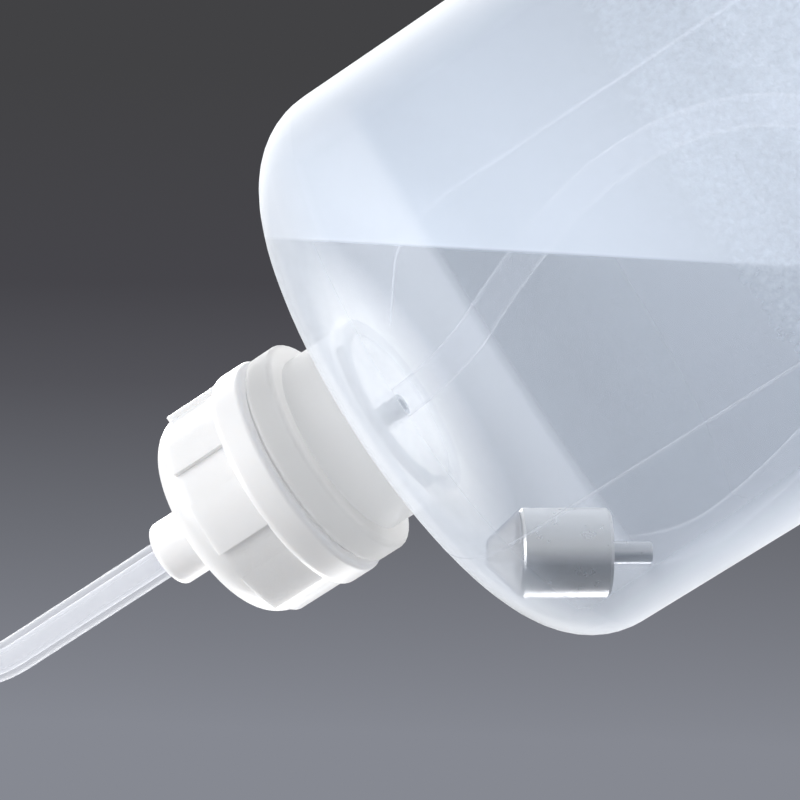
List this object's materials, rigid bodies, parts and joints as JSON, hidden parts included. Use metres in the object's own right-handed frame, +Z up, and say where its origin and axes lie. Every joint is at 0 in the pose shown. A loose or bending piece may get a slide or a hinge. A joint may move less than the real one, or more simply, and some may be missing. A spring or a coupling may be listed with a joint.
{
  "type": "wash bottle",
  "caption": "Translucent squeeze wash bottle with a ribbed screw cap, a bent delivery tube and a weighted suction hose inside.",
  "frame": {"origin": "centre of the bottle's base, on the surface it stands on", "axes": "+Z up along the bottle's axis, towards the cap; +X the way the delivery tube's spout points; a viewer at -Y sees the bottle as it was pictured, with the weight low on the left of the axis"},
  "size_m": [0.1017, 0.075, 0.2294],
  "materials": {
    "bottle_plastic": "natural polyethylene, milky and translucent, smooth shoulder and fine-grained wall",
    "cap_plastic": "white moulded plastic, slightly translucent, satin",
    "disc_foam": "white foamed polyethylene",
    "tube_plastic": "natural polyethylene tube, translucent",
    "nipple_plastic": "white moulded plastic",
    "hose_rubber": "clear silicone rubber, slightly hazy",
    "weight_steel": "fine-turned stainless steel",
    "stem_steel": "drawn stainless steel",
    "inlet_plastic": "natural moulded plastic, translucent"
  },
  "bodies": {
    "bottle": {"bottle": "bottle_plastic"},
    "disc": {"sealing_disc": "disc_foam"},
    "cap": {"screw_cap": "cap_plastic"},
    "nipple": {"hose_connector": "nipple_plastic"},
    "tube": {"delivery_tube": "tube_plastic"},
    "suction": {"suction_hose": "hose_rubber", "weight_stem": "stem_steel", "suction_weight": "weight_steel", "inlet_cone": "inlet_plastic"}
  },
  "joints": [
    {"name": "cap_lift", "type": "slide", "parent": "bottle", "child": "disc", "axis": [0, 0, 1], "range_m": [0, 0.00525]},
    {"name": "cap_turn", "type": "hinge", "parent": "disc", "child": "cap", "pos_m": [0, 0, 0.17], "axis": [0, 0, 1], "range_deg": [0, 540]},
    {"name": "spout_turn", "type": "hinge", "parent": "disc", "child": "nipple", "pos_m": [0, 0, 0.159], "axis": [0, 0, 1], "continuous": true},
    {"name": "tube_pull", "type": "slide", "parent": "nipple", "child": "tube", "axis": [0, 0, 1], "range_m": [0, 0.02]},
    {"name": "suction_swing", "type": "hinge", "parent": "bottle", "child": "suction", "pos_m": [0, 0, 0.12], "axis": [0, 0, 1], "continuous": true}
  ],
  "couplings": [
    {"joint": "cap_lift", "follows": "cap_turn", "m_per_rad": 0.000557}
  ]
}
